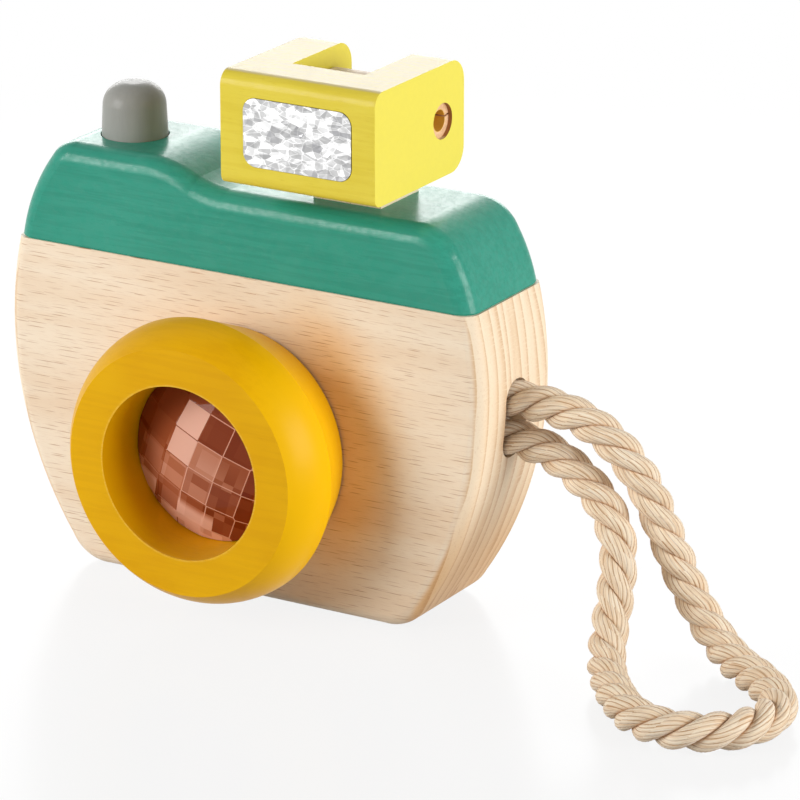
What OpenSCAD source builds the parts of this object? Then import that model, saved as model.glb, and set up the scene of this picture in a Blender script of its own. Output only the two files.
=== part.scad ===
// Wooden toy camera: beech block, painted cap, tilting flash, turning prism lens and rope wrist loop.
// Millimetres. The origin is the middle of the base, the lens faces -Y and +Z is up.

/* [Body block] */
// Greatest width of the block, at its belly
body_w = 114.8; // [104:0.2:130]
// Depth of the block from front to back
body_d = 30; // [27:0.5:40]
// Height of the block up to the seam with the cap
body_h = 70; // [66:0.5:90]
// Height at which the bowed sides are widest
belly_h = 51; // [46:0.5:56]
// Radius of the bowed sides
side_r = 82; // [76:1:110]
// Radius of the two bottom corners
foot_r = 9.5; // [6:0.5:14]
// Rounding of the edges of the front and back
body_edge = 3; // [1:0.25:4]

/* [Top cap] */
// Width of the cap at the seam
cap_w = 110; // [104:0.2:118]
// Height of the level part of the cap above the seam
cap_h = 17; // [15:0.25:22]
// How far the hump on the left stands above the level part
hump_rise = 4.7; // [3:0.1:8]
// Where the slope of the hump begins, left of the middle
slope_start = 23.5; // [20:0.5:25]
// Where the slope of the hump ends, left of the middle
slope_end = 2; // [-4:0.5:4]
// Rounding of the edges of the cap
cap_edge = 4; // [2:0.25:5]
// Radius of the corner at the hump
hump_corner_r = 6.5; // [5:0.25:9]
// Radius of the shoulder on the right
shoulder_r = 10; // [7:0.25:13]
// Height of the shadow line round the seam
seam_h = 0.4; // [0.2:0.1:1]
// Depth of that shadow line
seam_l = 0.4; // [0.2:0.1:1]

/* [Shutter button] */
// Distance of the button's axis left of the middle
button_x = 34.6; // [32:0.2:37]
// Diameter of the button where it enters the cap
button_d = 14; // [11:0.2:16]
// Diameter of the button just below its dome
button_top_d = 13.4; // [10:0.2:15]
// Height of the button above the hump
button_h = 11.2; // [9:0.2:16]
// Rounding of the button's top
button_round = 5; // [3:0.25:5]
// Travel of the button
button_travel = 4; // [2:0.25:5]
// Diameter of the flange that keeps the button in the cap
flange_d = 18; // [17.5:0.25:22]
// Thickness of that flange
flange_t = 3; // [2:0.25:4]
// Depth of the flange's pocket above the seam
pocket_h = 10.5; // [9.5:0.25:13]
// Diameter of the spring's wire
wire_d = 1; // [0.8:0.1:1.2]
// Outside diameter of the spring
spring_d = 9.4; // [8.5:0.1:10]
// Depth of the spring's bore below the seam
spring_bore_h = 10; // [8:0.5:14]

/* [Flash] */
// Distance of the flash's middle right of the middle of the body
flash_x = 21.75; // [20:0.25:24]
// Width of the flash
flash_w = 36; // [32:0.5:40]
// Depth of the flash
flash_d = 35; // [33:0.5:38]
// Height of the flash
flash_h = 23.4; // [20:0.2:28]
// Distance from the hinge pin to the front of the flash
flash_reach = 26.5; // [25:0.5:28]
// Gap between the cap and the flash
flash_lift = 6.3; // [5:0.1:9]
// Thickness of the wall in front of the slot
front_wall = 12; // [9:0.25:14]
// Rounding of the front edge at the top
front_top_r = 3; // [1:0.25:4]
// Rounding of the front edge at the bottom
front_bottom_r = 2; // [1:0.25:4]
// Rounding of the two edges at the back
rear_r = 5; // [2:0.25:6]
// Width of the foil panel
foil_w = 25.4; // [20:0.2:28]
// Height of the foil panel
foil_h = 14.4; // [10:0.2:16]
// Radius of the foil panel's corners
foil_r = 3; // [1:0.25:4]
// Thickness of the foil on its card
foil_t = 0.4; // [0.2:0.05:0.6]

/* [Hinge] */
// Width of the hinge post
post_w = 16; // [13:0.25:18]
// Depth of the hinge post
post_d = 15; // [13:0.25:17]
// Diameter of the hinge pin
pin_d = 7.5; // [5:0.25:8.5]
// Wall of the slotted pin
pin_wall = 1.5; // [0.8:0.1:1.8]
// Width of the slit along the pin
pin_slit = 0.4; // [0.3:0.1:2]
// How far the ends of the pin lie below the sides of the flash
pin_recess = 0.9; // [0.4:0.1:2]
// Wood kept round the hinge pin
pin_cover = 3; // [2:0.25:4]

/* [Lens] */
// Height of the lens axis above the base
lens_h = 34.2; // [33:0.1:38]
// Length of the ring from back to front
ring_l = 22.7; // [20:0.1:26]
// Diameter of the ring's flat front
ring_front_d = 52.6; // [48:0.2:56]
// Greatest diameter of the ring
ring_d = 60.6; // [57:0.2:64]
// Diameter of the ring at its back
ring_back_d = 50.6; // [50:0.2:55]
// Distance of the widest line from the front
crease_l = 10.2; // [8:0.2:13]
// Diameter of the hole in front of the prism
hood_d = 37; // [35:0.2:40]
// Depth of the hole down to the rim of the prism
hood_l = 13; // [11:0.25:14]
// Thickness of the rim of the prism
prism_rim = 4; // [2.5:0.25:4.5]
// Height of the prism's dome above its rim
prism_rise = 5.5; // [4:0.25:7]
// Pitch of the facets
facet_pitch = 6.2; // [5.6:0.1:8]
// Turn of the facets about the lens axis, in degrees
facet_turn = 22; // [0:1:90]
// Outside diameter of the neck that turns in the block
neck_d = 32; // [30:0.2:33]
// Wall of the neck
neck_wall = 3; // [2:0.1:3.5]
// Diameter of the eyepiece ring
eyepiece_d = 45.4; // [42:0.2:48]
// Thickness of the eyepiece ring
eyepiece_t = 4.3; // [3.5:0.1:6]
// Diameter of the peep hole
peep_d = 22; // [18:0.2:23]
// Outside diameter of the washer behind the ring
washer_d = 47; // [42:0.5:49]

/* [Dowels] */
// Diameter of the dowels
dowel_d = 8; // [6:0.2:8.4]
// Length of a cap dowel
cap_dowel_l = 24; // [18:0.5:24]
// Length of the post dowel
post_dowel_l = 18; // [14:0.5:20]
// Distance of the left cap dowel left of the middle
dowel_left_x = 10; // [4:0.5:14]
// Distance of the right cap dowel right of the middle
dowel_right_x = 41; // [38:0.5:42]

/* [Wrist loop] */
// Diameter of the rope
rope_d = 8; // [6:0.1:8.1]
// Height of the slot that takes both ends of the rope, one above the other
rope_slot_h = 17; // [16.6:0.1:19]
// Width of that slot
rope_slot_w = 9; // [8.8:0.1:11]
// Radius of the slot's corners
rope_slot_r = 4.3; // [3:0.1:4.3]
// Depth of the slot from the widest point of the side
rope_slot_l = 21; // [18:0.5:24]

/* [Fits] */
// Room round a turning pin or neck, on the radius
turn_fit = 0.07; // [0.03:0.01:0.1]
// Room round the button, on the radius
slide_fit = 0.25; // [0.15:0.05:0.3]
// Room between faces that pass each other
pass_fit = 0.3; // [0.2:0.05:0.4]
// Room between the flash and the sides of its post
side_fit = 0.5; // [0.3:0.05:0.8]
// Room left at the end of a dowel
dowel_end = 0.5; // [0.2:0.1:1]
// Gap that the washer fills between ring and block
ring_gap = 0.5; // [0.4:0.05:1]

/* [Hidden] */
$fn = 96;
overrun = 1;
quarter = 90;
// Corner sectors stand this much proud of their neighbours and run on under them by a few degrees,
// so that no two faces meet in a tangent
nip = 0.02;
slope_nip = 0.06;
lap = 16;
// Difference between the roundings of neighbouring sectors, for the same reason
edge_step = 0.05;
// Angle at which the rounding of an edge meets the flat front or back
edge_ease = 6;

// Lean of the outline from upright: at the seam, and where a side meets its corner
left_lean = [9, 38.5];
right_lean = [12, 32];

hump_h = cap_h + hump_rise;
hump_top = body_h + hump_h;
cap_top = body_h + cap_h;
side_x = body_w / 2 - side_r;
foot_drop = belly_h - foot_r;
foot_lean = asin(foot_drop / (side_r - foot_r));
foot_x = side_x + (side_r - foot_r) * cos(foot_lean);
seam_lean = quarter - foot_lean;

slope_l = slope_start - slope_end;
slope_r = (slope_l * slope_l + hump_rise * hump_rise) / (4 * hump_rise);
slope_turn = asin(slope_l / 2 / slope_r);

button_r = button_d / 2;
flange_r = flange_d / 2;
pocket_r = flange_r + slide_fit;
ceiling_gap_share = 1 / 3;
ceiling_gap = pass_fit * ceiling_gap_share;
flange_top = body_h + pocket_h - ceiling_gap;
flange_bottom = flange_top - flange_t;
spring_foot = body_h - spring_bore_h;
spring_r = (spring_d - wire_d) / 2;
spring_h = flange_bottom - spring_foot - wire_d;
spring_turns = 6;
spring_rings = 12;
spring_sides = 6;
spigot_r = spring_d / 2 - wire_d - pass_fit;
spigot_h = button_travel;

slot_w = post_w + 2 * side_fit;
pin_h = cap_top + flash_lift + flash_h / 2;
pin_l = flash_w - 2 * pin_recess;
slit_turn = 10;

ring_back = body_d / 2 + ring_gap;
ring_front = ring_back + ring_l;
bulge = (ring_d - ring_front_d) / 2;
bulge_r = (bulge * bulge + crease_l * crease_l) / (2 * bulge);
shoulder_l = hood_l + prism_rim;
prism_gap_share = 1 / 2;
prism_r = hood_d / 2 - pass_fit * prism_gap_share;
dome_r = (prism_r * prism_r + prism_rise * prism_rise) / (2 * prism_rise);
facet_reach = ceil(prism_r / facet_pitch);
// The grid of facets lies a little off the axis
facet_off = [1.3, -1.2];
neck_r = neck_d / 2;
washer_share = 0.9;
washer_t = ring_gap * washer_share;
washer_bore_d = neck_d + 2 * pass_fit;

eyepiece_sink = pass_fit;
eyepiece_back = body_d / 2 - eyepiece_sink;
eyepiece_front = eyepiece_back - eyepiece_t;
eyepiece_lip_share = 0.45;
neck_end = eyepiece_back - eyepiece_t * eyepiece_lip_share;
neck_start = ring_front - shoulder_l;
peep_flare = eyepiece_t * eyepiece_lip_share / 2;

rope_h = 45;
// A path counts as upright once its heading rises by this share
upright_share = 0.9;
rope_sides = 10;
rope_steps = 2;
// Middle line of the rope: out of the slot above, down to the ground, round and back in below
rope_route = [
  [42, 0, 49.1], [50, 0, 49.1], [58, 0, 49.1], [66, 0, 48.8], [74, 0, 46.9], [81.1, 0.2, 42.4],
  [86.6, 1.1, 35.2], [90.4, 2.1, 26.4], [94.4, 2.8, 17.2], [99.3, 2.3, 9.8], [105.3, -0.6, 5.5],
  [112, -5.6, 4.2], [119.8, -11.1, 4.1], [126.9, -18.5, 4.1], [129.1, -26.5, 4.1], [126.9, -34.3, 4.1],
  [121.2, -39.7, 4.1], [113.4, -41.5, 4.1], [105.6, -39, 4.1], [99, -32.8, 4.1], [93.7, -26.4, 4.3],
  [89.4, -19.9, 5.6], [86.8, -13.8, 9.9], [85.5, -8.9, 16.6], [83.8, -5.3, 24.4], [79.3, -2.7, 31],
  [72.4, -1, 35.9], [65, 0, 39.2], [57.5, 0, 40.7], [50, 0, 40.9], [42, 0, 40.9],
];

// What a rounding takes off an outer corner at the origin of an outline
module corner_waste(x_side, y_side, radius) {
  shift = (overrun - radius) / 2;
  difference() {
    translate([x_side * shift, y_side * shift]) square(radius + overrun, center = true);
    translate([-x_side * radius, -y_side * radius]) circle(radius);
  }
}

module rounded(width, height, radius) {
  difference() {
    square([width, height], center = true);
    for (x = [-1, 1])
      for (y = [-1, 1])
        translate([x * width / 2, y * height / 2]) corner_waste(x, y, radius);
  }
}

// Cross-section of a slab from a middle line out to a rounded edge
module edge_section(reach, depth, rounding) {
  // A little deeper than the slab, which is cut to its depth later
  half = depth / 2 + rounding * (1 - cos(edge_ease));
  difference() {
    translate([0, -half]) square([reach, 2 * half]);
    for (side = [-1, 1]) translate([reach, side * half]) corner_waste(1, side, rounding);
  }
}

// Slab sector under a bulging arc of an outline in X and Z
module arc_out(centre, radius, from, to, depth, rounding) {
  translate([centre[0], 0, centre[1]]) rotate([quarter, 0, 0]) rotate([0, 0, from])
    rotate_extrude(angle = to - from) edge_section(radius, depth, rounding);
}

// Slab sector under a hollow arc, reaching a given height down from the arc
module arc_in(centre, radius, from, to, depth, rounding, height) {
  translate([centre[0], 0, centre[1]]) rotate([quarter, 0, 0]) rotate([0, 0, from])
    rotate_extrude(angle = to - from)
      translate([radius + height, 0]) mirror([1, 0]) edge_section(height, depth, rounding);
}

// Slab under a level stretch of an outline, from one X to another
module bar(from, to, base, height, depth, rounding) {
  translate([from, 0, base]) rotate([quarter, 0, quarter]) linear_extrude(to - from)
    rotate(quarter) edge_section(height, depth, rounding);
}

// Everything between two heights and within the depth of the body
module slab(from, to) {
  translate([-body_w, -body_d / 2, from]) cube([2 * body_w, body_d, to - from]);
}

module along_y(from) {
  translate([0, from, 0]) rotate([-quarter, 0, 0]) children();
}

module at_lens() {
  translate([0, 0, lens_h]) children();
}

module at_button() {
  translate([-button_x, 0, 0]) children();
}

module at_pin() {
  translate([flash_x, 0, pin_h]) children();
}

// Cylinder along X, centred on the pin's axis
module across(diameter, length) {
  rotate([0, quarter, 0]) cylinder(d = diameter, h = length, center = true);
}

module dowel_places() {
  for (x = [-dowel_left_x, dowel_right_x]) translate([x, 0, 0]) children();
}

module body_side() {
  arc_out([side_x, belly_h], side_r, -foot_lean, seam_lean, body_d, body_edge);
  arc_out([foot_x, foot_r], foot_r + 2 * nip, -quarter - lap, lap - foot_lean,
          body_d, body_edge - edge_step);
}

module body_block() color("burlywood") difference() {
  intersection() {
    union() {
      body_side();
      mirror([1, 0, 0]) body_side();
      mirror([0, 0, 1]) bar(-foot_x, foot_x, -body_h - overrun, body_h + overrun + nip, body_d, body_edge);
    }
    slab(0, body_h);
  }
  at_lens() along_y(-body_d / 2 - overrun) cylinder(d = neck_d + 2 * turn_fit, h = body_d + 2 * overrun);
  at_lens() along_y(eyepiece_front - pass_fit) cylinder(d = eyepiece_d + 2 * pass_fit, h = body_d);
  translate([body_w / 2 - rope_slot_l, 0, rope_h]) rotate([quarter, 0, quarter])
    linear_extrude(rope_slot_l + overrun) rounded(rope_slot_w, rope_slot_h, rope_slot_r);
  dowel_places() translate([0, 0, body_h - cap_dowel_l / 2 - dowel_end])
    cylinder(d = dowel_d, h = cap_dowel_l);
  at_button() translate([0, 0, spring_foot])
    cylinder(d = spring_d + 2 * pass_fit, h = spring_bore_h + overrun);
}

// A side of the cap from the seam up to its top, bulging to +X, with the level stretch from an inner X;
// lean is given at the seam and at the corner
module cap_side(inner_x, height, corner_r, lean) {
  corner_h = height - corner_r;
  lower_r = (corner_h + corner_r * sin(lean[1])) / (sin(lean[1]) - sin(lean[0]));
  corner_x = cap_w / 2 - lower_r * (cos(lean[0]) - cos(lean[1])) - corner_r * cos(lean[1]);
  arm = lower_r - corner_r;
  arc_out([corner_x - arm * cos(lean[1]), corner_h - arm * sin(lean[1])], lower_r,
          0, lean[1], body_d, cap_edge);
  arc_out([corner_x, corner_h], corner_r + nip, lean[1] - lap, quarter + lap,
          body_d, cap_edge - edge_step);
  bar(inner_x, corner_x, -overrun, height + overrun, body_d, cap_edge);
  // Plain block over the line where the three of them meet
  core = (corner_r - cap_edge) / 2;
  translate([inner_x, -body_d, -overrun])
    cube([corner_x - inner_x + core, 2 * body_d, corner_h + core + overrun]);
}

module cap_outline() translate([0, 0, body_h]) intersection() {
  union() {
    mirror([1, 0, 0]) cap_side(slope_start, hump_h, hump_corner_r, left_lean);
    arc_out([-slope_start, hump_h - slope_r], slope_r + slope_nip,
            quarter - slope_turn - lap, quarter + lap, body_d, cap_edge - edge_step);
    arc_in([-slope_end, cap_h + slope_r], slope_r + slope_nip, -quarter - slope_turn, -quarter,
           body_d, cap_edge + edge_step, 2 * hump_h);
    cap_side(-slope_end - cap_edge, cap_h, shoulder_r, right_lean);
  }
  slab(0, 2 * hump_h);
}

// What the shadow line takes off the lower edge of the cap
module seam_waste() translate([0, 0, body_h - overrun]) linear_extrude(seam_h + overrun) difference() {
  square(2 * body_w, center = true);
  rounded(cap_w - 2 * seam_l, body_d - 2 * seam_l, cap_edge - seam_l);
}

module top_cap() color("seagreen") difference() {
  cap_outline();
  seam_waste();
  at_button() translate([0, 0, body_h]) {
    cylinder(r = button_r + slide_fit, h = hump_h + overrun);
    translate([0, 0, -overrun]) cylinder(r = pocket_r, h = pocket_h + overrun);
  }
  dowel_places() translate([0, 0, body_h - overrun])
    cylinder(d = dowel_d, h = cap_dowel_l / 2 + dowel_end + overrun);
  translate([flash_x, 0, cap_top - post_dowel_l / 2 - dowel_end])
    cylinder(d = dowel_d, h = post_dowel_l);
}

module cap_dowels() color("tan")
  dowel_places() translate([0, 0, body_h]) cylinder(d = dowel_d, h = cap_dowel_l, center = true);

module button_section() {
  top_r = button_top_d / 2;
  straight_top = hump_top + button_h - button_round;
  polygon([[0, flange_bottom], [button_r, flange_bottom], [button_r, hump_top],
           [top_r, straight_top], [0, straight_top]]);
  translate([0, straight_top]) square([top_r - button_round, button_round]);
  intersection() {
    translate([top_r - button_round, straight_top]) circle(button_round);
    translate([top_r - button_round, straight_top]) square(button_round);
  }
  translate([0, flange_bottom]) square([flange_r, flange_t]);
  translate([0, flange_bottom - spigot_h]) square([spigot_r, spigot_h]);
}

module shutter_button() color("gray")
  at_button() rotate_extrude() button_section();

function spring_point(turn) =
  [spring_r * cos(turn), spring_r * sin(turn), wire_d / 2 + spring_h * turn / (360 * spring_turns)];

module button_spring() color("silver") at_button() translate([0, 0, spring_foot]) {
  count = spring_turns * spring_rings;
  turns = [for (i = [0 : count]) 360 * spring_turns * i / count];
  tube([for (t = turns) spring_point(t)], wire_d, spring_sides);
}

// The slab of the flash lies on its side: +X of its outline is the back of the flash
module flash_outline() {
  half_h = flash_h / 2;
  back = flash_d - flash_reach;
  corners = [[-flash_reach, half_h, front_top_r], [-flash_reach, -half_h, front_bottom_r],
             [back, half_h, rear_r], [back, -half_h, rear_r]];
  difference() {
    translate([-flash_reach, -half_h]) square([flash_d, flash_h]);
    for (c = corners) translate([c[0], c[1]]) corner_waste(sign(c[0]), sign(c[1]), c[2]);
  }
  circle(pin_d / 2 + pin_cover);
}

module foil_outline() {
  rounded(foil_w, foil_h, foil_r);
}

module at_foil() {
  at_pin() translate([0, -flash_reach + foil_t, 0]) rotate([quarter, 0, 0]) children();
}

module flash_block() color("gold") difference() {
  at_pin() rotate([quarter, 0, quarter]) linear_extrude(flash_w, center = true) flash_outline();
  at_pin() translate([-slot_w / 2, front_wall - flash_reach, -flash_h])
    cube([slot_w, flash_d, 2 * flash_h]);
  at_pin() across(pin_d, flash_w + 2 * overrun);
  at_foil() linear_extrude(foil_t + overrun) foil_outline();
}

module flash_foil() color("lightgray")
  at_foil() linear_extrude(foil_t) foil_outline();

module hinge_post() color("wheat") difference() {
  union() {
    at_pin() across(post_d, post_w);
    translate([flash_x - post_w / 2, -post_d / 2, cap_top]) cube([post_w, post_d, pin_h - cap_top]);
  }
  at_pin() across(pin_d + 2 * turn_fit, post_w + 2 * overrun);
  translate([flash_x, 0, cap_top - overrun])
    cylinder(d = dowel_d, h = post_dowel_l / 2 + dowel_end + overrun);
}

module post_dowel() color("tan")
  translate([flash_x, 0, cap_top]) cylinder(d = dowel_d, h = post_dowel_l, center = true);

module hinge_pin() color("peru") at_pin() difference() {
  across(pin_d, pin_l);
  across(pin_d - 2 * pin_wall, pin_l + 2 * overrun);
  rotate([slit_turn, 0, 0]) translate([-pin_l, 0, -pin_slit / 2]) cube([2 * pin_l, pin_d, pin_slit]);
}

// Half section of the lens ring: radius against the distance behind its front
module ring_section() {
  widest = ring_d / 2;
  intersection() {
    translate([widest - bulge_r, crease_l]) circle(bulge_r);
    translate([hood_d / 2, 0]) square([widest - hood_d / 2, crease_l]);
  }
  polygon([[hood_d / 2, crease_l], [widest, crease_l], [ring_back_d / 2, ring_l],
           [neck_r, ring_l], [neck_r, shoulder_l], [hood_d / 2, shoulder_l]]);
}

module lens_ring() color("goldenrod")
  at_lens() along_y(-ring_front) rotate_extrude() ring_section();

// Dome of flat facets, each touching a ball above a point of a square grid
module prism_lens() color("rosybrown") at_lens() along_y(-ring_front + hood_l) difference() {
  translate([0, 0, -prism_rise - overrun]) cylinder(r = prism_r, h = prism_rise + prism_rim + overrun);
  rotate([0, 0, facet_turn])
    for (i = [-facet_reach : facet_reach])
      for (j = [-facet_reach : facet_reach]) {
        middle = facet_off + facet_pitch * [i, j];
        if (norm(middle) < prism_r + facet_pitch / 2)
          facet_waste(norm(middle), atan2(middle[1], middle[0]));
      }
}

// Everything outside one facet whose middle lies at a distance and a bearing from the axis
module facet_waste(distance, bearing) {
  slant = asin(min(1, distance / dome_r));
  rotate([0, 0, bearing]) translate([0, 0, dome_r - prism_rise]) rotate([0, -slant, 0])
    translate([-hood_d, -hood_d, -dome_r - hood_d]) cube([2 * hood_d, 2 * hood_d, hood_d]);
}

module lens_neck() color("wheat") at_lens() along_y(-neck_start) difference() {
  cylinder(d = neck_d, h = neck_start + neck_end);
  translate([0, 0, -overrun]) cylinder(d = neck_d - 2 * neck_wall, h = neck_start + neck_end + 2 * overrun);
}

module eyepiece_section() {
  lip = eyepiece_back - neck_end;
  polygon([[neck_r, 0], [eyepiece_d / 2, 0], [eyepiece_d / 2, eyepiece_t],
           [peep_d / 2 + peep_flare, eyepiece_t], [peep_d / 2, eyepiece_t - peep_flare],
           [peep_d / 2, eyepiece_t - lip], [neck_r, eyepiece_t - lip]]);
}

module eyepiece_ring() color("wheat")
  at_lens() along_y(eyepiece_front) rotate_extrude() eyepiece_section();

module ring_washer() color("dimgray") at_lens() along_y(-body_d / 2 - washer_t) difference() {
  cylinder(d = washer_d, h = washer_t);
  translate([0, 0, -overrun]) cylinder(d = washer_bore_d, h = washer_t + 2 * overrun);
}

// Smooth curve through the points of a route
function spline(a, b, c, d, t) =
  b + t / 2 * (c - a + t * (2 * a - 5 * b + 4 * c - d + t * (3 * (b - c) + d - a)));
function clamped(route, i) = route[max(0, min(len(route) - 1, i))];
function smooth(route, steps) = [
  for (i = [0 : len(route) - 2])
    for (s = [0 : steps - 1])
      spline(clamped(route, i - 1), route[i], route[i + 1], clamped(route, i + 2), s / steps),
  route[len(route) - 1]
];

function unit(v) = v / norm(v);
function heading(path, i) = unit(clamped(path, i + 1) - clamped(path, i - 1));
// A side vector carried along the path without twist
function carried(side, way) = unit(side - (side * way) * way);
function sides_along(path, i, side) =
  i == len(path) ? [] :
  let (now = carried(side, heading(path, i))) concat([now], sides_along(path, i + 1, now));
function start_side(way) = abs(way[2]) < upright_share ? [0, 0, 1] : [1, 0, 0];

module tube(path, diameter, sides) {
  across_path = sides_along(path, 0, start_side(heading(path, 0)));
  points = [for (i = [0 : len(path) - 1])
    let (u = across_path[i], v = cross(heading(path, i), u))
      for (k = [0 : sides - 1])
        path[i] + diameter / 2 * (u * cos(360 * k / sides) + v * sin(360 * k / sides))];
  last = len(path) - 1;
  walls = [for (i = [0 : last - 1], k = [0 : sides - 1])
    let (a = i * sides + k, b = i * sides + (k + 1) % sides)
      each [[a, b + sides, b], [a, a + sides, b + sides]]];
  start_cap = [for (k = [1 : sides - 2]) [0, k, k + 1]];
  end_cap = [for (k = [1 : sides - 2]) [last * sides, last * sides + k + 1, last * sides + k]];
  polyhedron(points, concat(walls, start_cap, end_cap));
}

module rope_loop() color("bisque")
  tube(smooth(rope_route, rope_steps), rope_d, rope_sides);

body_block();
top_cap();
cap_dowels();
shutter_button();
button_spring();
hinge_post();
post_dowel();
hinge_pin();
flash_block();
flash_foil();
lens_ring();
prism_lens();
lens_neck();
eyepiece_ring();
ring_washer();
rope_loop();
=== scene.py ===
import bpy
import bmesh
import math
import random
from mathutils import Matrix, Vector


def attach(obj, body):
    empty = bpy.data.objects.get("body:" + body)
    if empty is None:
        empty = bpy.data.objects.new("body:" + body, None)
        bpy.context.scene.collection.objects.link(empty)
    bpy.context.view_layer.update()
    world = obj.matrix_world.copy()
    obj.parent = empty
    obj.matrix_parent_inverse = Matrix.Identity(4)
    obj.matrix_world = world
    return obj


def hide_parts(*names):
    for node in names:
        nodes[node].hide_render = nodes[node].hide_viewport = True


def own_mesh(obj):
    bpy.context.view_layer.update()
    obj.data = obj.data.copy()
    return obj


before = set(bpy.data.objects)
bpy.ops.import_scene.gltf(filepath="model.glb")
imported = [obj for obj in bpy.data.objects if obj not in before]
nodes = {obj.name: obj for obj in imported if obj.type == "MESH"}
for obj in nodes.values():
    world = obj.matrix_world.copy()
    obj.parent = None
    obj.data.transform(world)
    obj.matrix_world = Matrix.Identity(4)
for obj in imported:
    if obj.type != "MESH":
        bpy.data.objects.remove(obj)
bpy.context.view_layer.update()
mm = 0.001
lensHeight = 34.2  # of the lens axis, in millimetres
pinHeight = 105  # of the hinge pin
print("frame loaded,", len(nodes), "nodes")


def paint(red, green, blue):  # screen colour 0-255 to the linear value a shader wants
    shares = [c / 255 for c in (red, green, blue)]
    return tuple(c / 12.92 if c < 0.0408 else ((c + 0.055) / 1.055) ** 2.4 for c in shares) + (1.0,)


class Wire:  # one shader value; sums of wires add their own Math nodes
    def __init__(self, tree, socket):
        self.tree = tree
        self.socket = socket

    def node(self, kind, settings=(), values=(), out=0):
        made = self.tree.nodes.new(kind)
        for name, value in dict(settings).items():
            if name == "stops":
                ramp = made.color_ramp
                while len(ramp.elements) < len(value):
                    ramp.elements.new(0.5)
                for stop, (place, colour) in zip(ramp.elements, value):
                    stop.position = place
                    stop.color = colour
            else:
                setattr(made, name, value)
        for name, value in dict(values).items():
            if isinstance(value, Wire):
                self.tree.links.new(value.socket, made.inputs[name])
            else:
                made.inputs[name].default_value = value
        return Wire(self.tree, made.outputs[out])

    def maths(self, operation, first, second=0.0):
        return self.node("ShaderNodeMath", {"operation": operation}, {0: first, 1: second})

    def __add__(self, other):
        return self.maths("ADD", self, other)

    __radd__ = __add__

    def __sub__(self, other):
        return self.maths("SUBTRACT", self, other)

    def __rsub__(self, other):
        return self.maths("SUBTRACT", other, self)

    def __mul__(self, other):
        return self.maths("MULTIPLY", self, other)

    __rmul__ = __mul__

    def __truediv__(self, other):
        return self.maths("DIVIDE", self, other)

    def __pow__(self, other):
        return self.maths("POWER", self, other)

    def __abs__(self):
        return self.maths("ABSOLUTE", self)

    def ramp(self, low, high, least=0.0, most=1.0):  # smooth step between two values
        values = {"Value": self, "From Min": low, "From Max": high, "To Min": least, "To Max": most}
        return self.node("ShaderNodeMapRange", {"interpolation_type": "SMOOTHSTEP"}, values)

    def axes(self):
        split = self.node("ShaderNodeSeparateXYZ", {}, {0: self}).socket.node
        return [Wire(self.tree, s) for s in split.outputs]

    def packed(self, x, y, z):
        return self.node("ShaderNodeCombineXYZ", {}, {0: x, 1: y, 2: z})

    def placed(self, scale, turn=(0, 0, 0)):
        return self.node("ShaderNodeMapping", {}, {"Vector": self, "Scale": scale, "Rotation": turn})

    def noise(self, detail=2.0, rough=0.5, scale=1.0):
        values = {"Vector": self, "Scale": scale, "Detail": detail, "Roughness": rough}
        return self.node("ShaderNodeTexNoise", {}, values)

    def blend(self, first, second, kind="MIX"):  # colours, by this wire's share
        settings = {"data_type": "RGBA", "blend_type": kind}
        return self.node("ShaderNodeMix", settings, {0: self, 6: first, 7: second}, 2)

    def bump(self, strength, height):
        return self.node("ShaderNodeBump", {}, {"Height": self, "Strength": strength, "Distance": height})


class Finish:  # a material with its shader and its place in millimetres
    def __init__(self, name, turn=(0, 0, 0), **constants):
        self.material = bpy.data.materials.new(name)
        self.material.use_nodes = True
        self.tree = self.material.node_tree
        self.shader = self.tree.nodes["Principled BSDF"]
        for socket, value in constants.items():
            self.shader.inputs[socket.replace("_", " ")].default_value = value
        coords = self.tree.nodes.new("ShaderNodeTexCoord")
        self.place = Wire(self.tree, coords.outputs["Object"]).placed((1000, 1000, 1000), turn)
        self.facing = Wire(self.tree, coords.outputs["Normal"])
        self.uv = Wire(self.tree, coords.outputs["UV"])

    def feed(self, **wires):
        for socket, wire in wires.items():
            self.tree.links.new(wire.socket, self.shader.inputs[socket.replace("_", " ")])
        return self.material


def wear(node, material):  # a CAD node keeps its shape and gets this finish
    slots = nodes[node].data.materials
    slots.clear()
    slots.append(material)


def newPiece(name, mesh, material, body, replaced=()):
    piece = bpy.data.objects.new(name, mesh)
    bpy.context.scene.collection.objects.link(piece)
    mesh.materials.append(material)
    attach(piece, body)
    if replaced:
        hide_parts(*replaced)
    return piece


# Camera at the photograph's angle

view = {
    "azimuth": 30.71, "elevation": 18.97, "distance": 1.01655, "target": (0.02976, 0, 0.04404),
    "lens": 222.29, "sensor": 36, "nearest": 0.05,
}


def direction(azimuth, elevation):  # from the part towards a camera or a lamp
    around, up = math.radians(azimuth), math.radians(elevation)
    return Vector((math.sin(around) * math.cos(up), -math.cos(around) * math.cos(up), math.sin(up)))


def setCamera():
    back = direction(view["azimuth"], view["elevation"])
    lens = bpy.data.cameras.new("photoCamera")
    lens.lens = view["lens"]
    lens.sensor_width = view["sensor"]
    lens.clip_start = view["nearest"]
    camera = bpy.data.objects.new("photoCamera", lens)
    camera.location = Vector(view["target"]) + back * view["distance"]
    camera.rotation_euler = back.to_track_quat("Z", "Y").to_euler()
    bpy.context.scene.collection.objects.link(camera)
    bpy.context.scene.camera = camera


setCamera()
print("camera set")

# Wrist loop of twisted rope, along the CAD's own route

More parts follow.
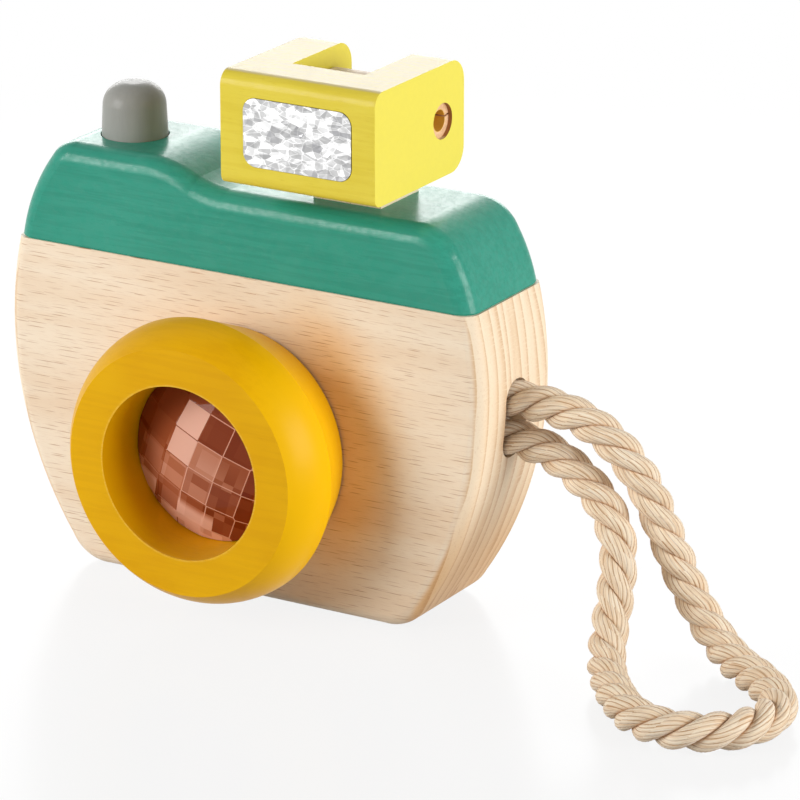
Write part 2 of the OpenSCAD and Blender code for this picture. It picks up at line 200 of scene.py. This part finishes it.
rope = {
    "route": [
        (42, 0, 49.1), (50, 0, 49.1), (58, 0, 49.1), (66, 0, 48.8), (74, 0, 46.9),
        (81.1, 0.2, 42.4), (86.6, 1.1, 35.2), (90.4, 2.1, 26.4), (94.4, 2.8, 17.2), (99.3, 2.3, 9.8),
        (105.3, -0.6, 5.5), (112, -5.6, 4.2), (119.8, -11.1, 4.1), (126.9, -18.5, 4.1), (129.1, -26.5, 4.1),
        (126.9, -34.3, 4.1), (121.2, -39.7, 4.1), (113.4, -41.5, 4.1), (105.6, -39, 4.1), (99, -32.8, 4.1),
        (93.7, -26.4, 4.3), (89.4, -19.9, 5.6), (86.8, -13.8, 9.9), (85.5, -8.9, 16.6), (83.8, -5.3, 24.4),
        (79.3, -2.7, 31), (72.4, -1, 35.9), (65, 0, 39.2), (57.5, 0, 40.7), (50, 0, 40.9),
        (42, 0, 40.9)],
    "diameter": 8.0, "steps": 15, "lay": 18.5, "start": 0.16, "strands": 3, "strandRadius": 1.84,
    "yarns": 12, "yarnDepth": 0.055, "yarnLay": 11.8, "sides": 48, "exit": (0.0572, 0, 0.0491),
    "ridge": 0.7, "fuzz": 0.6, "strandShift": 40,
    "pale": paint(252, 232, 203), "warm": paint(243, 216, 182), "bright": paint(255, 247, 231),
    "gap": paint(190, 142, 94), "deep": paint(196, 146, 94),
}


def smoothRoute(route, steps):
    points = [Vector(p) for p in route]
    ends = [points[0]] + points + [points[-1]]
    path = []
    for a, b, c, d in zip(ends, ends[1:], ends[2:], ends[3:]):
        for s in range(steps):
            t = s / steps
            path.append(b + t / 2 * (c - a + t * (2 * a - 5 * b + 4 * c - d + t * (3 * (b - c) + d - a))))
    return path + [points[-1]]


def ropeFinish():
    finish = Finish("ropeFibre", Roughness=0.86, Specular_IOR_Level=0.2, Sheen_Weight=0.25,
                    Sheen_Roughness=0.5)
    around, along, _ = finish.uv.axes()
    sway = finish.uv.packed(around * 0.6, along * 0.14, 0).noise(2, 0.6)
    lines = (around + sway * 1.1) * math.pi
    groove = abs(lines.maths("SINE", lines)) ** rope["ridge"]
    fibre = finish.uv.packed(around * 5, along * 0.2, 0).noise(3, 0.65)
    single = finish.uv.packed(around.maths("FLOOR", around) * 7.31, along * 0.04, 0).noise(1, 0.5)
    pale = single.ramp(0.38, 0.62).blend(rope["pale"], rope["warm"])
    # painted shade: the grooves between yarns are painted darker tan
    yarn = groove.ramp(0.05, 0.8).blend(rope["gap"], pale)
    colour = (fibre.ramp(0.45, 0.7) * 0.7).blend(yarn, rope["bright"])
    colour = (fibre.ramp(0.47, 0.3) * 0.6).blend(colour, rope["gap"])
    # painted shade: strands are painted darker on their inner sides, where they lie against each other
    outer = finish.place.node("ShaderNodeAttribute", {"attribute_name": "outer"}, {}, "Fac")
    colour = (outer.ramp(0.62, 0.36) * 0.85).blend(colour, rope["deep"])
    return finish.feed(Base_Color=colour, Normal=(fibre + groove * 0.8).bump(0.55, 0.0003))


def makeRope():
    path = smoothRoute(rope["route"], rope["steps"])
    before, beyond = [path[0]] + path[:-1], path[1:] + [path[-1]]
    headings = [(b - a).normalized() for a, b in zip(before, beyond)]
    side = Vector((0, 0, 1))
    frames = []
    for way in headings:
        side = (side - side.dot(way) * way).normalized()
        frames.append((side, way.cross(side)))
    walked = [0.0]
    for a, b in zip(path, path[1:]):
        walked.append(walked[-1] + (b - a).length)
    offset = rope["diameter"] / 2 - rope["strandRadius"] * (1 + rope["yarnDepth"])
    shape = bmesh.new()
    uv = shape.loops.layers.uv.new("yarn")
    outer = shape.verts.layers.float.new("outer")
    draw = random.Random(5)
    for strand in range(rope["strands"]):
        rings = []
        for point, way, (u, v), s in zip(path, headings, frames, walked):
            share = strand / rope["strands"] - s / rope["lay"] + rope["start"]  # left-hand lay
            turn = 2 * math.pi * share
            out = math.cos(turn) * u + math.sin(turn) * v
            centre = point + offset * out
            slope = 2 * math.pi * offset / rope["lay"]
            tilt = (way + slope * (math.sin(turn) * u - math.cos(turn) * v)).normalized()
            out = (out - out.dot(tilt) * tilt).normalized()
            across = tilt.cross(out)
            twist = 2 * math.pi * s / rope["yarnLay"]
            ring = []
            for k in range(rope["sides"]):
                angle = 2 * math.pi * k / rope["sides"]
                ridge = abs(math.sin(rope["yarns"] * (angle - twist) / 2)) ** rope["ridge"]
                height = 2 * ridge - 1 - draw.uniform(0, rope["fuzz"])
                radius = rope["strandRadius"] * (1 + rope["yarnDepth"] * height)
                spoke = math.cos(angle) * out + math.sin(angle) * across
                vert = shape.verts.new(mm * (centre + radius * spoke))
                # 1 on the strand's outside, 0 where it faces the others; the finish paints shade by it
                vert[outer] = 0.5 + math.cos(angle) / 2
                ring.append(vert)
            rings.append(ring)
        for i in range(len(rings) - 1):
            for k in range(rope["sides"]):
                after = (k + 1) % rope["sides"]
                face = shape.faces.new((rings[i][k], rings[i][after], rings[i + 1][after], rings[i + 1][k]))
                for loop, (step, place) in zip(face.loops, ((0, k), (0, k + 1), (1, k + 1), (1, k))):
                    s = walked[i + step]
                    yarn = rope["yarns"] * (place / rope["sides"] - s / rope["yarnLay"])
                    loop[uv].uv = (yarn + rope["strandShift"] * strand, s)
        shape.faces.new(rings[0][::-1])
        shape.faces.new(rings[-1])
    bmesh.ops.recalc_face_normals(shape, faces=shape.faces)
    for face in shape.faces:
        face.smooth = True
    mesh = bpy.data.meshes.new("ropeLoop")
    shape.to_mesh(mesh)
    shape.free()
    piece = newPiece("ropeLoop", mesh, ropeFinish(), "camera", ("rope_loop",))
    rope["diameter"] * mm
    [mm * p for p in path]
    print("rope made,", round(walked[-1], 1), "mm long")


makeRope()

# Bare beech: dashes along the grain, growth rings on the end grain

beech = {
    "pale": paint(246, 229, 205), "warm": paint(238, 214, 185), "dash": paint(178, 125, 80),
    "endPale": paint(249, 229, 200), "endWarm": paint(238, 209, 172), "ringLine": paint(208, 164, 118),
    "dashLength": 6.8, "dashGap": 1.1, "dashHalf": 2.7, "dashThick": 0.095, "ringGap": 3.3,
    "paintedWarmShade": paint(243, 213, 170),  # painted warm shade: the ring's shadow on the front beside it, with the ring's warm light in it, and painted shade low on the ends
    "bounceRing": (44, 30), "bounceSide": (6, 26), "bounceHeight": (2, 24), "bounceFront": (-13.5, -14.8),
    "lowEndShade": (34, 10), "lowEndShadeShare": 0.75,
}


def beechFinish(name, turn=(0, 0, 0), endGrain=True):
    finish = Finish(name, turn, Roughness=0.5, Specular_IOR_Level=0.35)
    place = finish.place
    x, y, z = place.axes()
    sway = place.placed((0.012, 0.05, 0.035)).noise(2, 0.5)
    level = z + sway * 3.2
    cells = place.packed(x * (1 / beech["dashLength"]), level * (1 / beech["dashGap"]), 0)
    voronoi = cells.node("ShaderNodeTexVoronoi", {"voronoi_dimensions": "2D", "feature": "F1"},
                         {"Vector": cells, "Scale": 1.0, "Randomness": 1.0})
    centre = Wire(finish.tree, voronoi.socket.node.outputs["Position"])
    chance = Wire(finish.tree, voronoi.socket.node.outputs["Color"]).axes()
    gap = cells.node("ShaderNodeVectorMath", {"operation": "SUBTRACT"}, {0: cells, 1: centre}).axes()
    reach = abs(gap[0]) * beech["dashLength"] / (chance[0] * 0.8 + 0.6) * (1 / beech["dashHalf"])
    thick = (1 - reach * reach) * beech["dashThick"]
    dash = (thick - abs(gap[1]) * beech["dashGap"]).ramp(-0.02, 0.08) * (chance[1] * 0.7 + 0.3)
    streak = place.placed((0.01, 0.2, 0.12)).noise(3, 0.55)
    fine = place.placed((0.3, 2.6, 3.4)).noise(3, 0.65)
    long = streak.ramp(0.35, 0.7).blend(beech["pale"], beech["warm"])
    long = (fine.ramp(0.5, 0.72) * 0.2).blend(long, beech["dash"])
    front = (dash * 0.9).blend(long, beech["dash"])
    # painted shade: the ring's warm shadow is multiplied into the wood on the front, to the ring's right
    ring = (x * x + (z - lensHeight) * (z - lensHeight)) ** 0.5
    near = ring.ramp(*beech["bounceRing"]) * x.ramp(*beech["bounceSide"])
    near = near * z.ramp(*beech["bounceHeight"], 0.5, 1.0) * y.ramp(*beech["bounceFront"])
    front = near.blend(front, beech["paintedWarmShade"], "MULTIPLY")
    rough = fine * 0.16 + 0.42
    relief = fine * 0.35 - dash * 0.5
    if endGrain:
        bend = place.placed((0.02, 0.06, 0.022)).noise(2, 0.45)
        rings = (y + z * 0.05 + bend * 7.0) * (1 / beech["ringGap"])
        wide = place.placed((0.0, 0.3, 0.0)).noise(1, 0.5)
        year = (rings + wide * 1.4).maths("FRACT", rings + wide * 1.4)
        late = year.ramp(0.1, 0.95) * year.ramp(1.0, 0.96)
        pores = place.placed((0.3, 3.4, 1.8)).noise(2, 0.7)
        rays = place.placed((0.1, 0.35, 3.6)).noise(2, 0.6)
        end = late.blend(beech["endPale"], beech["endWarm"])
        end = (late ** 8 * 0.5).blend(end, beech["ringLine"])
        end = (pores.ramp(0.52, 0.72) * 0.28).blend(end, beech["ringLine"])
        end = (rays.ramp(0.55, 0.66) * 0.5).blend(end, beech["endPale"])
        # painted shade: the end grain is made darker and warmer towards the bottom
        low = z.ramp(*beech["lowEndShade"]) * beech["lowEndShadeShare"]
        end = low.blend(end, beech["paintedWarmShade"], "MULTIPLY")
        across = abs(finish.facing.axes()[0]).ramp(0.3, 0.62)
        front = across.blend(front, end)
        relief = relief * (1 - across) + across * (late * 0.4 + pores * 0.4)
    return finish.feed(Base_Color=front, Roughness=rough, Normal=relief.bump(0.25, 0.00012))


# Gloss paint that lets a little of the wood's grain through

paints = {
    "green": {"deep": paint(26, 118, 96), "plain": paint(47, 149, 126), "lift": paint(66, 164, 142),
              "rough": 0.34, "coat": 0.3, "grain": 1.0},
    "ochre": {"deep": paint(204, 140, 0), "plain": paint(226, 167, 2), "lift": paint(243, 190, 10),
              "bareAndPaintedLight": paint(250, 214, 110), "paintedLitSide": paint(250, 192, 0),
              "rough": 0.36, "coat": 0.02, "grain": 0.7},
    "yellow": {"deep": paint(210, 181, 34), "plain": paint(229, 207, 66), "lift": paint(240, 222, 92),
               "bareAndPaintedLight": paint(168, 112, 66), "paintedLitSide": paint(240, 225, 86), "paintedTopGlare": paint(208, 192, 148),
               "rough": 0.38, "coat": 0.17, "grain": 1.0},
    "grey": {"deep": paint(130, 129, 124), "plain": paint(156, 155, 149), "lift": paint(174, 173, 168),
             "rough": 0.4, "coat": 0.15, "grain": 0.4},
}
ringRim = {"radius": 18.6, "share": 0.35, "front": (-37.4, -37.9)}  # the ring's inner rim, millimetres
pinHole = (3.95, 3.8)  # radii between which paint gives way to bare wood, painted dark as shade in the recess


def paintFinish(name, look, turn=(0, 0, 0), bareAndPaintedLight=None):
    grain = look["grain"]
    finish = Finish(name, turn, Coat_Roughness=0.2, Specular_IOR_Level=0.1)
    place = finish.place
    streak = place.placed((0.05, 0.9, 0.9)).noise(3, 0.6)
    pores = place.placed((0.4, 3.2, 3.2)).noise(3, 0.65)
    peel = place.noise(2, 0.5, 0.9)
    cloud = place.noise(2, 0.5, 0.05)
    colour = (cloud.ramp(0.3, 0.7) * 0.35).blend(look["plain"], look["lift"])
    colour = (streak.ramp(0.58, 0.38) * 0.22 * grain).blend(colour, look["deep"])
    colour = (pores.ramp(0.58, 0.76) * 0.4 * grain).blend(colour, look["deep"])
    if bareAndPaintedLight:
        colour = bareAndPaintedLight(finish, pores).blend(colour, look["bareAndPaintedLight"])
    # painted light: faces turned to the right are painted brighter, as if lit from that side
    if "paintedLitSide" in look:
        litFromRight = finish.facing.axes()[0].ramp(0.35, 0.85)
        colour = litFromRight.blend(colour, look["paintedLitSide"])
    # painted glare: top faces are painted pale, as the back light's glare on them
    if "paintedTopGlare" in look:
        glareOnTop = finish.facing.axes()[2].ramp(0.9, 0.99)
        colour = (glareOnTop * pores.ramp(0.3, 0.6, 0.5, 0.88)).blend(colour, look["paintedTopGlare"])
    gloss = peel.ramp(0.35, 0.65, 0.6, 1.35) * look["coat"]
    rough = peel * 0.1 + pores * 0.16 + (look["rough"] - 0.13)
    relief = streak * 0.25 * grain + pores * 0.7 * grain + peel * 0.3
    return finish.feed(Base_Color=colour, Roughness=rough, Coat_Weight=gloss,
                       Normal=relief.bump(0.2, 0.00014))


def ringRimRubbedAndHighlight(finish, pores):  # paint rubbed thin on the inner rim of the ring's front, with a painted highlight along that edge
    x, y, z = finish.place.axes()
    radius = (x * x + (z - lensHeight) * (z - lensHeight)) ** 0.5
    rim = abs(radius - ringRim["radius"]).ramp(0.4, 0.1) * ringRim["share"]
    return rim * y.ramp(*ringRim["front"]) * pores.ramp(0.4, 0.6, 0.25, 0.9)


def fromPin(finish):  # distance from the hinge axis
    _, y, z = finish.place.axes()
    return (y * y + (z - pinHeight) * (z - pinHeight)) ** 0.5


def pinHoleBareWoodAndShade(finish, pores):  # bare wood inside the hinge hole, darkened as painted shade in the recess
    return fromPin(finish).ramp(*pinHole)


# Metal and felt

pin = {"bright": paint(248, 208, 164), "dull": paint(222, 168, 112), "rough": 0.5, "metal": 0.2,
       "bore": 2.25, "boreEdge": 0.15, "gold": paint(250, 204, 84)}
felt = {"dark": paint(58, 46, 38), "light": paint(92, 76, 62)}


def metalFinish(name, look):
    finish = Finish(name, Metallic=look["metal"])
    drawn = finish.place.placed((0.2, 4.0, 4.0)).noise(3, 0.6)
    stain = finish.place.noise(3, 0.6, 0.5)
    colour = (drawn.ramp(0.35, 0.7) * 0.6 + stain.ramp(0.4, 0.7) * 0.4).blend(look["bright"], look["dull"])
    if "bore" in look:
        inside = fromPin(finish).ramp(look["bore"] + look["boreEdge"], look["bore"])
        colour = inside.blend(colour, look["gold"])
    return finish.feed(Base_Color=colour, Roughness=drawn * 0.2 + (look["rough"] - 0.1),
                       Normal=drawn.bump(0.2, 0.00004))


def feltFinish():
    finish = Finish("washerFelt", Roughness=0.95, Sheen_Weight=0.4, Specular_IOR_Level=0.1)
    fibre = finish.place.noise(4, 0.75, 2.2)
    colour = fibre.ramp(0.3, 0.7).blend(felt["dark"], felt["light"])
    return finish.feed(Base_Color=colour, Normal=fibre.bump(0.6, 0.0001))


# Coil spring under the button

spring = {"middle": -34.6, "foot": 60.0, "height": 17.3, "across": 9.4, "wire": 1, "turns": 6,
          "sides": 10, "steps": 24, "pressed": 0.765,  # share of its height when pressed
          "bright": paint(190, 190, 192), "dull": paint(140, 140, 144), "rough": 0.3, "metal": 1.0}


def makeSpring():
    middle, foot, wire = spring["middle"], spring["foot"], spring["wire"]
    count = spring["turns"] * spring["steps"]
    shape = bmesh.new()
    bmesh.ops.create_circle(shape, segments=spring["sides"], radius=wire / 2)
    bmesh.ops.rotate(shape, verts=shape.verts, matrix=Matrix.Rotation(math.pi / 2, 3, "X"))
    start = (middle + (spring["across"] - wire) / 2, 0, foot + wire / 2)
    bmesh.ops.translate(shape, verts=shape.verts, vec=start)
    climb = (0, 0, (spring["height"] - wire) / count)
    bmesh.ops.spin(shape, geom=shape.verts[:] + shape.edges[:], cent=(middle, 0, 0), axis=(0, 0, 1),
                   dvec=climb, angle=2 * math.pi * spring["turns"], steps=count)
    bmesh.ops.holes_fill(shape, edges=[e for e in shape.edges if len(e.link_faces) == 1])
    bmesh.ops.recalc_face_normals(shape, faces=shape.faces)
    bmesh.ops.transform(shape, matrix=Matrix.Scale(mm, 4), verts=shape.verts)
    for face in shape.faces:
        face.smooth = True
    mesh = bpy.data.meshes.new("springCoil")
    shape.to_mesh(mesh)
    shape.free()
    steel = metalFinish("springWire", spring)
    piece = newPiece("springCoil", mesh, steel, "camera", ("button_spring",))
    mm * middle
    mm * foot
    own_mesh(piece)
    print("spring made,", len(mesh.polygons), "faces")


makeSpring()

# Crinkled silver foil in the recess of the flash

foil = {
    "width": 25.4, "height": 14.4, "corner": 3.0, "cornerSteps": 8, "thick": 0.22, "margin": 0.12,
    "cell": 1.15, "jog": 0.34, "crinkle": 0.06, "face": -26.42, "centre": (21.75, 105.0),
    "reflectionTones": [(0.12, paint(166, 166, 168)), (0.36, paint(178, 178, 178)), (0.56, paint(194, 194, 194)),
              (0.86, paint(234, 234, 234))],
}


def foilFinish():
    finish = Finish("crinkledFoil", Metallic=1.0)
    shards = finish.place.placed((0.62, 0.62, 0.3), (0, 0.5, 0))
    cells = shards.node("ShaderNodeTexVoronoi", {"feature": "F1"}, {"Vector": shards, "Scale": 1.0})
    tone = Wire(finish.tree, cells.socket.node.outputs["Color"]).axes()[0]
    splinters = finish.place.placed((0.42, 0.9, 0.9), (0, -0.7, 0))
    small = splinters.node("ShaderNodeTexVoronoi", {"feature": "F1"}, {"Vector": splinters, "Scale": 1.0})
    spark = Wire(finish.tree, small.socket.node.outputs["Color"]).axes()[1]
    crease = splinters.node("ShaderNodeTexVoronoi", {"feature": "DISTANCE_TO_EDGE"},
                            {"Vector": splinters, "Scale": 1.0})
    # painted reflections: random shard tones and bright lines along the creases stand in for the crinkled
    # foil's reflections
    shade = tone * 0.5 + spark * 0.5 + crease.ramp(0.06, 0.02) * 0.3
    colour = shade.node("ShaderNodeValToRGB", {"stops": foil["reflectionTones"]}, {0: shade})
    return finish.feed(Base_Color=colour, Roughness=0.3 + spark * 0.2)


def makeFoil():
    draw = random.Random(7)
    half = Vector((foil["width"] / 2 - foil["margin"], foil["height"] / 2 - foil["margin"]))
    corner = foil["corner"] - foil["margin"]
    shape = bmesh.new()
    bmesh.ops.create_grid(shape, x_segments=round(foil["width"] / foil["cell"]),
                          y_segments=round(foil["height"] / foil["cell"]), size=1.0)
    bmesh.ops.scale(shape, vec=(half.x, half.y, 1), verts=shape.verts)
    for vert in shape.verts:
        inner = abs(vert.co.x) < half.x - 0.01 and abs(vert.co.y) < half.y - 0.01
        jog = foil["jog"] * foil["cell"] if inner else 0
        lift = foil["crinkle"] if inner else 0
        vert.co += Vector((draw.uniform(-jog, jog), draw.uniform(-jog, jog), draw.uniform(-1, 1) * lift))
    for sx in (-1, 1):
        for sy in (-1, 1):
            for step in range(1, foil["cornerSteps"]):
                angle = math.radians(90 * step / foil["cornerSteps"])
                way = Vector((sx * math.cos(angle), sy * math.sin(angle), 0))
                centre = Vector((sx * (half.x - corner), sy * (half.y - corner), 0))
                bmesh.ops.bisect_plane(shape, geom=shape.verts[:] + shape.edges[:] + shape.faces[:],
                                       plane_co=centre + corner * way, plane_no=way, clear_outer=True)
    bmesh.ops.triangulate(shape, faces=shape.faces)
    bmesh.ops.recalc_face_normals(shape, faces=shape.faces)
    bmesh.ops.solidify(shape, geom=shape.faces[:], thickness=foil["thick"])
    place = Vector((foil["centre"][0], foil["face"], foil["centre"][1]))
    lie = Matrix.Translation(place) @ Matrix.Rotation(math.pi / 2, 4, "X")
    bmesh.ops.transform(shape, matrix=Matrix.Scale(mm, 4) @ lie, verts=shape.verts)
    bmesh.ops.recalc_face_normals(shape, faces=shape.faces)
    mesh = bpy.data.meshes.new("foilSheet")
    shape.to_mesh(mesh)
    shape.free()
    newPiece("foilSheet", mesh, foilFinish(), "flash", ("flash_foil",))
    print("foil made")


makeFoil()

# Faceted rose prism in the lens ring

# Facet tones are painted reflections, each facet with its own fixed brightness; edge tones are painted
# highlights on the facet edges, the rim tone is painted shade, and the glints are painted.
prism = {
    "radius": 18.35, "rim": 4.0, "rise": 5.5, "spare": 1, "pitch": 6.2, "turn": 22, "off": (1.3, 1.2),
    "front": -25.2, "edge": 0.11, "sides": 96,
    "reflectionTones": {(-1, 1): 1.0, (-1, 0): 0.95, (0, 0): 0.58, (0, 1): 0.12, (1, 1): 0.08, (1, 0): 0.34,
              (-1, -1): 0.55, (0, -1): 0.5, (1, -1): 0.3, (-2, 1): 0.2, (-2, 0): 0.26, (-2, -1): 0.36,
              (0, -2): 0.3, (1, -2): 0.28, (-1, -2): 0.45, (2, 0): 0.1, (2, -1): 0.12, (0, -3): 0.85,
              (1, -3): 0.8, (2, -2): 0.2, (-2, -2): 0.5},
    "otherTones": (0.1, 0.6), "rimTone": 0.1, "edgeTones": (0.25, 0.85), "edgeSpread": (-12, 8),
    "ramp": [(0.0, paint(121, 43, 10)), (0.35, paint(160, 84, 52)), (0.6, paint(196, 126, 96)),
             (1.0, paint(238, 184, 162))],
    "glintAcross": (0.31, 0.4), "glintAlong": (0.36, 2.1), "glintWave": 0.9, "glintSway": 0.3,
    "glintShare": 0.4, "lowGlint": (-10, -12.5), "lowGlintShare": 0.55,
}


def prismFinish():
    finish = Finish("roseAcrylic", Roughness=0.06, IOR=1.49, Transmission_Weight=0.08,
                    Specular_IOR_Level=0.08)
    x, _, z = finish.place.axes()
    turn = math.radians(prism["turn"])
    across = x * math.cos(turn) - (z - lensHeight) * math.sin(turn)
    along = x * math.sin(turn) + (z - lensHeight) * math.cos(turn)
    steps = []
    for way, (scale, shift) in ((across, prism["glintAcross"]), (along, prism["glintAlong"])):
        wave = way * prism["glintWave"] + shift
        step = way * scale + wave.maths("SINE", wave) * prism["glintSway"]
        steps.append(step.maths("FLOOR", step))
    spot = finish.place.packed(*steps, 0)
    glint = spot.node("ShaderNodeTexWhiteNoise", {"noise_dimensions": "2D"}, {"Vector": spot})
    tone = finish.place.node("ShaderNodeAttribute", {"attribute_name": "facet"}, {}, "Fac")
    # painted glints: random bright spots over the darker facets and along the bottom
    share = tone.ramp(0.9, 0.6) * along.ramp(4.0, -3.0, 0.25, 1.0) * prism["glintShare"]
    low = along.ramp(*prism["lowGlint"]) * prism["lowGlintShare"]
    shade = tone + (glint - 0.45) * share + glint.ramp(0.5, 0.54) * low
    colour = shade.node("ShaderNodeValToRGB", {"stops": prism["ramp"]}, {0: shade})
    return finish.feed(Base_Color=colour)


def makePrism():
    radius, rise, spare = prism["radius"], prism["rise"], prism["spare"]  # spare is cut away
    ball = (radius ** 2 + rise ** 2) / (2 * rise)
    shape = bmesh.new()
    bmesh.ops.create_cone(shape, cap_ends=True, segments=prism["sides"], radius1=radius, radius2=radius,
                          depth=prism["rim"] + rise + spare)
    bmesh.ops.translate(shape, verts=shape.verts, vec=(0, 0, (rise + spare - prism["rim"]) / 2))
    centre = Vector((0, 0, rise - ball))
    count = math.ceil(radius / prism["pitch"])
    facets = {}
    for i in range(-count, count + 1):
        for j in range(-count, count + 1):
            a, b = (off + k * prism["pitch"] for off, k in zip(prism["off"], (i, j)))
            if math.hypot(a, b) > radius + prism["pitch"] / 2:
                continue
            around = math.atan2(b, a) - math.radians(prism["turn"])
            slant = math.asin(min(1, math.hypot(a, b) / ball))
            flat = math.sin(slant)
            way = Vector((flat * math.cos(around), flat * math.sin(around), math.cos(slant)))
            facets[i, j] = way
            whole = shape.verts[:] + shape.edges[:] + shape.faces[:]
            cut = bmesh.ops.bisect_plane(shape, geom=whole, plane_co=centre + ball * way, plane_no=way,
                                         clear_outer=True, dist=1e-5)
            rim = [e for e in cut["geom_cut"] if isinstance(e, bmesh.types.BMEdge)]
            if len(rim) > 2:
                bmesh.ops.contextual_create(shape, geom=rim)
    bmesh.ops.remove_doubles(shape, verts=shape.verts, dist=1e-4)
    bmesh.ops.dissolve_limit(shape, angle_limit=math.radians(0.5), verts=shape.verts, edges=shape.edges)
    above = 0.1 - prism["rim"]
    sharp = [e for e in shape.edges if len(e.link_faces) == 2 and min(v.co.z for v in e.verts) > above
             and all(f.normal.z > 0.3 for f in e.link_faces)]
    bmesh.ops.bevel(shape, geom=sharp, offset=prism["edge"], offset_type="OFFSET", affect="EDGES",
                    segments=1, profile=0.5, material=-1)
    bmesh.ops.recalc_face_normals(shape, faces=shape.faces)
    shape.normal_update()
    layer = shape.loops.layers.float_color.new("facet")
    draw = random.Random(3)
    dim, bright = prism["edgeTones"]
    # painted reflections and highlights: each face gets its facet's fixed tone, a bright or dim edge line,
    # or the dark rim tone
    for face in shape.faces:
        near = max(facets, key=lambda k: facets[k].dot(face.normal))
        on = facets[near].dot(face.normal) > 0.99999
        middle = face.calc_center_median()
        line = bright if middle.x - middle.y > draw.uniform(*prism["edgeSpread"]) else dim
        if on:
            tone = prism["reflectionTones"].get(near, draw.uniform(*prism["otherTones"]))
        else:
            tone = line if face.normal.z > 0.5 else prism["rimTone"]
        for loop in face.loops:
            loop[layer] = (tone, tone, tone, 1)
    lie = Matrix.Translation(Vector((0, prism["front"], lensHeight))) @ Matrix.Rotation(math.pi / 2, 4, "X")
    bmesh.ops.transform(shape, matrix=Matrix.Scale(mm, 4) @ lie, verts=shape.verts)
    mesh = bpy.data.meshes.new("prismDome")
    shape.to_mesh(mesh)
    shape.free()
    newPiece("prismDome", mesh, prismFinish(), "lens", ("prism_lens",))
    print("prism made,", len(mesh.polygons), "faces")


makePrism()

# Finishes of the CAD's own pieces

upright = (0, math.pi / 2, 0)
throughLens = (0, 0, math.pi / 2)
wear("body_block", beechFinish("beechBlock"))
wear("hinge_post", beechFinish("beechPost", upright, False))
wear("lens_neck", beechFinish("beechNeck", throughLens, False))
wear("eyepiece_ring", beechFinish("beechEyepiece", (0, 0, 0), False))
for dowel in ("cap_dowels", "post_dowel"):
    wear(dowel, beechFinish("beechDowel", upright, False))
wear("top_cap", paintFinish("greenPaint", paints["green"]))
wear("lens_ring", paintFinish("ochrePaint", paints["ochre"], bareAndPaintedLight=ringRimRubbedAndHighlight))
wear("flash_block", paintFinish("yellowPaint", paints["yellow"], bareAndPaintedLight=pinHoleBareWoodAndShade))
wear("shutter_button", paintFinish("greyPaint", paints["grey"], upright))
wear("hinge_pin", metalFinish("coppery", pin))
wear("ring_washer", feltFinish())
print("finishes set")

# Pale floor, soft light

studio = {
    "world": 0.22, "floor": paint(200, 200, 200), "floorWhite": 0.86, "floorFade": (120, 420),
    "floorMiddle": 30, "floorHalf": 4, "floorDrop": 0.00005, "lampTarget": (0.01, 0, 0.06),
    "lamps": [  # name, azimuth, elevation, distance, width, height, watts
        ("leftSoft", -36, 20, 0.9, 0.48, 0.48, 6.0),
        ("rightSoft", 92, 14, 1.0, 0.6, 0.5, 7.5),
        ("backGlow", 211, 15, 1.3, 1.2, 0.55, 9.0),
    ],
}


def setLamps():
    for name, azimuth, elevation, distance, width, height, watts in studio["lamps"]:
        way = direction(azimuth, elevation)
        light = bpy.data.lights.new(name, "AREA")
        light.shape = "RECTANGLE"
        light.size, light.size_y, light.energy = width, height, watts
        lamp = bpy.data.objects.new(name, light)
        lamp.location = Vector(studio["lampTarget"]) + way * distance
        lamp.rotation_euler = way.to_track_quat("Z", "Y").to_euler()
        lamp.visible_camera = False
        bpy.context.scene.collection.objects.link(lamp)


def seenRays(start):  # 1 for what the camera sees, straight or in a gloss or through glass
    rays = start.node("ShaderNodeLightPath").socket.node.outputs
    kinds = ("Is Camera Ray", "Is Glossy Ray", "Is Transmission Ray")
    camera, glossy, through = [Wire(start.tree, rays[kind]) for kind in kinds]
    return camera.maths("MAXIMUM", camera.maths("MAXIMUM", camera, glossy), through)


def setWorld():
    world = bpy.data.worlds.new("paleRoom")
    world.use_nodes = True
    bpy.context.scene.world = world
    tree = world.node_tree
    ground = tree.nodes["Background"]
    ground.inputs["Color"].default_value = (1, 1, 1, 1)
    seen = seenRays(Wire(tree, None))
    tree.links.new((seen * (1 - studio["world"]) + studio["world"]).socket, ground.inputs["Strength"])


def setFloor():
    shape = bmesh.new()
    bmesh.ops.create_grid(shape, x_segments=1, y_segments=1, size=studio["floorHalf"])
    bmesh.ops.translate(shape, verts=shape.verts, vec=(0, 0, -studio["floorDrop"]))
    mesh = bpy.data.meshes.new("paleFloor")
    shape.to_mesh(mesh)
    shape.free()
    floor = bpy.data.objects.new("paleFloor", mesh)
    bpy.context.scene.collection.objects.link(floor)
    finish = Finish("paleFloor", Base_Color=studio["floor"], Roughness=0.22, Specular_IOR_Level=0.4)
    seen = seenRays(finish.place)
    glow = finish.tree.nodes.new("ShaderNodeEmission")
    glow.inputs["Color"].default_value = (1, 1, 1, 1)
    share = finish.tree.nodes.new("ShaderNodeMixShader")
    x, y, _ = finish.place.axes()
    aside = x - studio["floorMiddle"]
    fade = ((aside * aside + y * y) ** 0.5).ramp(*studio["floorFade"], studio["floorWhite"], 1.0)
    finish.tree.links.new((seen * fade).socket, share.inputs[0])
    finish.tree.links.new(finish.shader.outputs[0], share.inputs[1])
    finish.tree.links.new(glow.outputs[0], share.inputs[2])
    finish.tree.links.new(share.outputs[0], finish.tree.nodes["Material Output"].inputs["Surface"])
    mesh.materials.append(finish.material)


setLamps()
setWorld()
setFloor()
bpy.context.scene.view_settings.view_transform = "Standard"
print("studio set")
